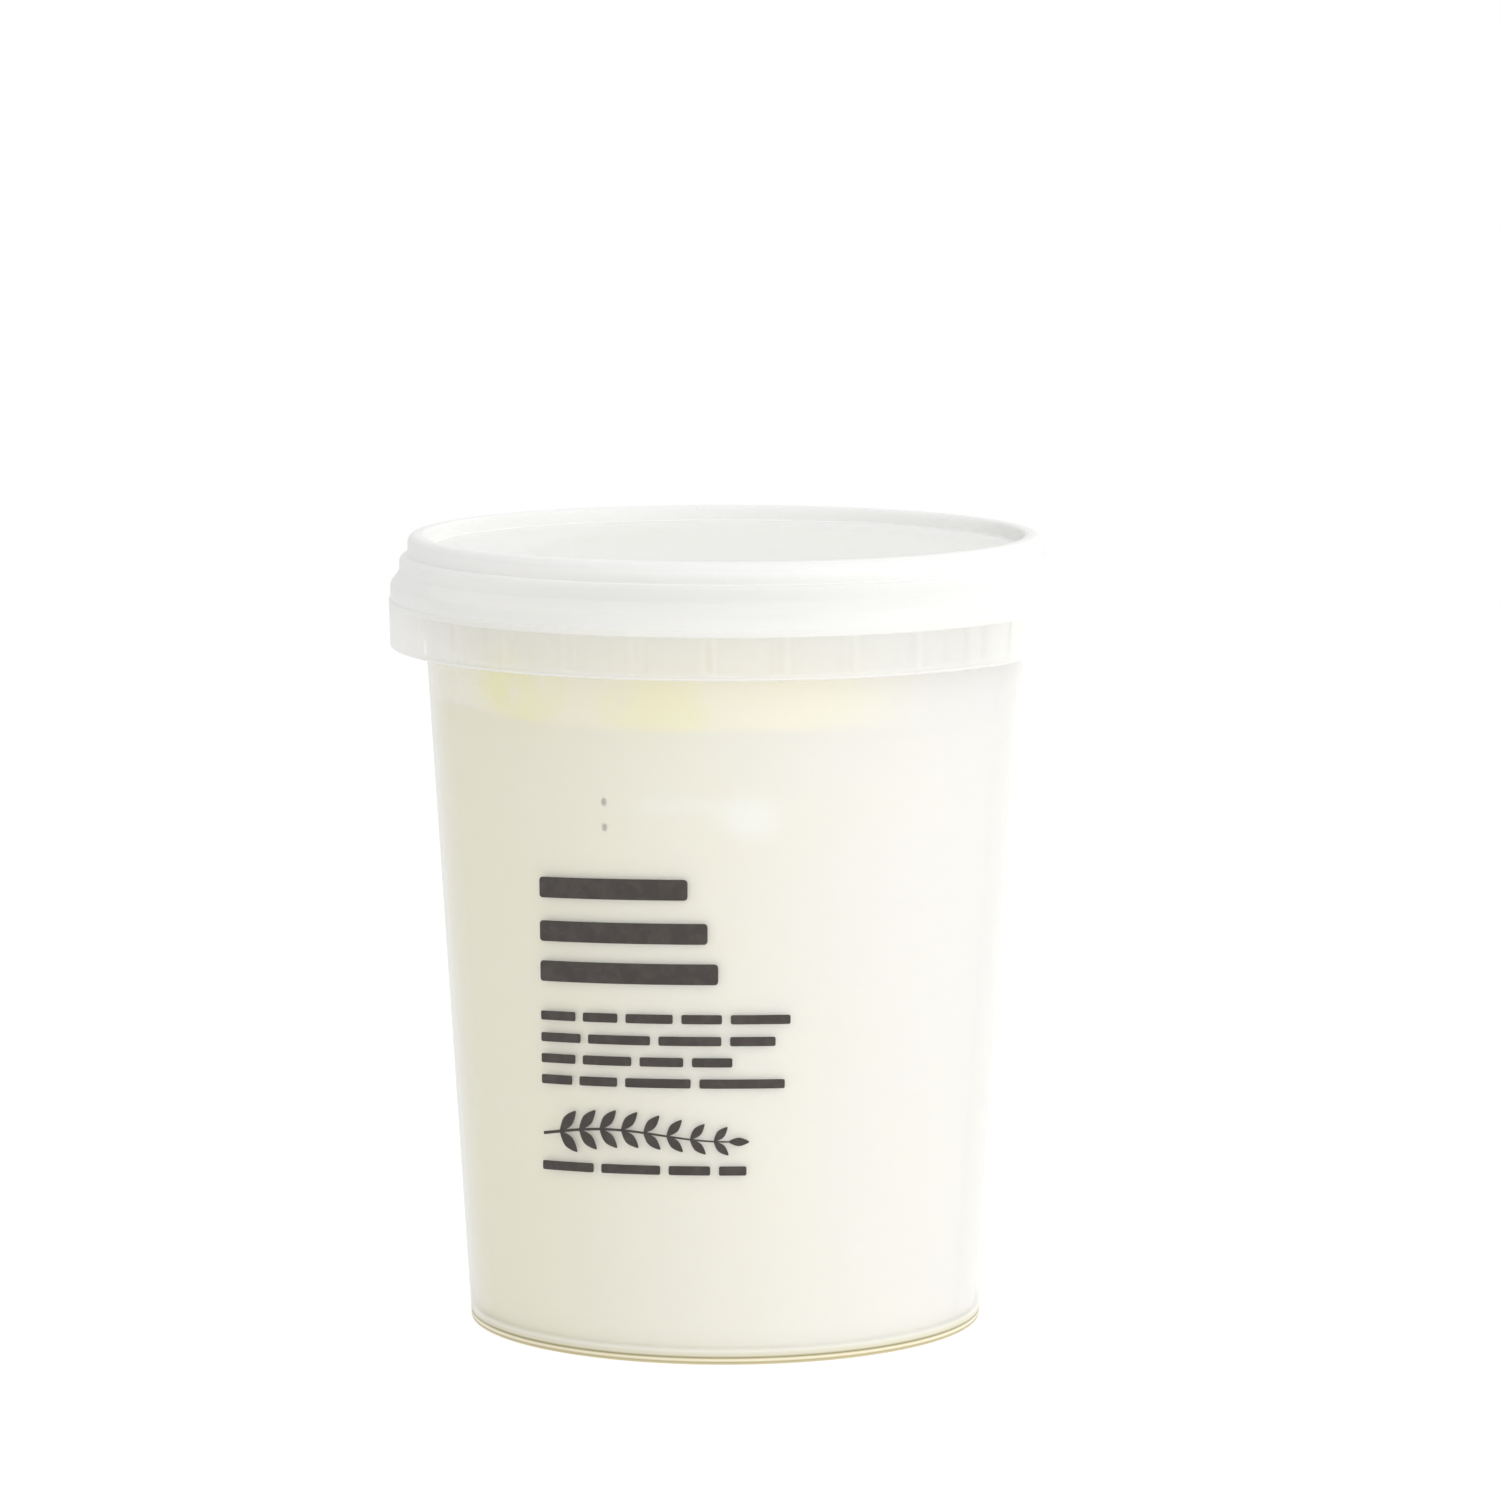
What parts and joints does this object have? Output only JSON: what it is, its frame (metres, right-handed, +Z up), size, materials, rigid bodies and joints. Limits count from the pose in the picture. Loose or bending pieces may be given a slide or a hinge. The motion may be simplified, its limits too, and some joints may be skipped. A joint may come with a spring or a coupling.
{
  "type": "lidded tub of yogurt",
  "caption": "Tall tapered translucent plastic tub, shut with a push-on lid and full of plain white yogurt under a layer of risen cream.",
  "frame": {"origin": "middle of the foot ring, on the surface that the tub stands on", "axes": "+Z up along the tub's axis, -Y towards the front, where the print is"},
  "size_m": [0.118, 0.118, 0.1392],
  "materials": {
    "milky_plastic": "milky, translucent injection-moulded polypropylene with a soft gloss",
    "lid_plastic": "milky, translucent injection-moulded polypropylene, slightly whiter than the tub",
    "yogurt": "smooth, moist, warm white",
    "cream": "smooth, moist, pale butter yellow in soft patches",
    "print": "thin charcoal ink printed on the outside of the wall"
  },
  "bodies": {
    "root": {"tub": "milky_plastic", "lid": "lid_plastic", "yogurt": "yogurt", "cream": "cream"}
  },
  "joints": []
}
